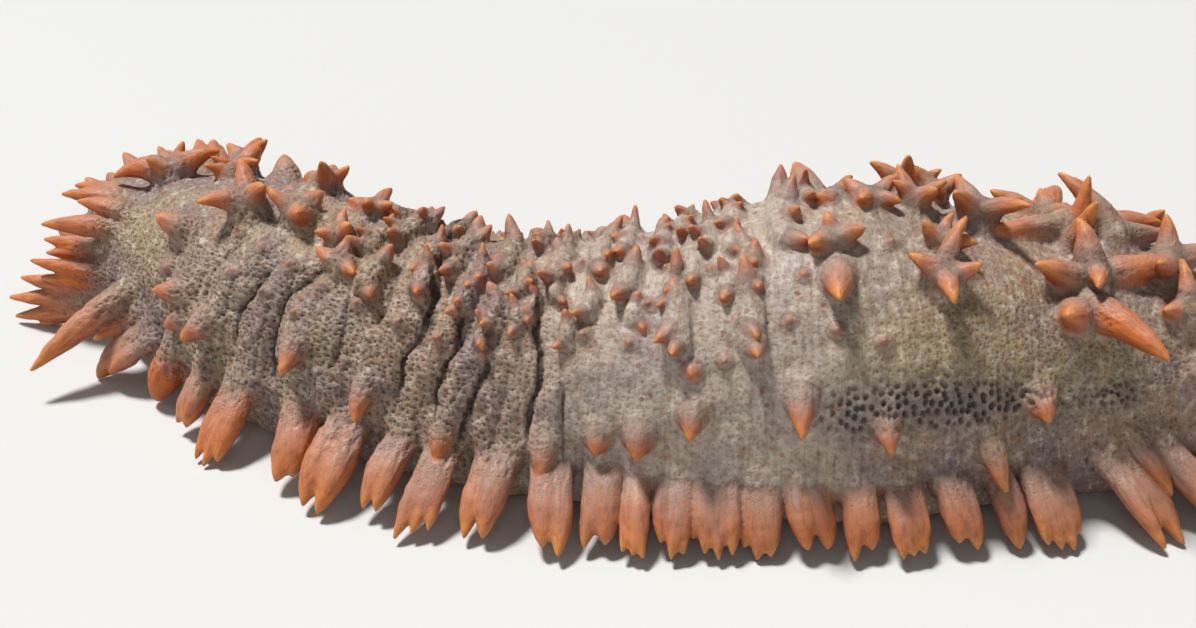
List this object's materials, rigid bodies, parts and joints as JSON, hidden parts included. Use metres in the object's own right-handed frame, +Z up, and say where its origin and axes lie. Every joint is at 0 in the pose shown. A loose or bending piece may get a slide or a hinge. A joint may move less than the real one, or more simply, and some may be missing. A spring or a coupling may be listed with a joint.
{
  "type": "prickly sea cucumber model",
  "caption": "Life-size still model of a prickly sea cucumber lying on its flat sole in a shallow curve, with fleshy pointed papillae.",
  "frame": {"origin": "on the floor under the middle of the animal's bounding box", "axes": "+X along the animal's greatest length towards the tail end, +Z up, -Y to the outer side of the curve"},
  "size_m": [0.5032, 0.2045, 0.1029],
  "materials": {
    "skin": "moist tan skin with orange papillae",
    "sole": "moist red sole"
  },
  "bodies": {
    "root": {"head_end": "skin", "trunk_front": "skin", "trunk_fore_middle": "skin", "trunk_hind_middle": "skin", "trunk_rear": "skin", "tail_end": "skin", "sole_front": "sole", "sole_middle": "sole", "sole_rear": "sole"}
  },
  "joints": []
}
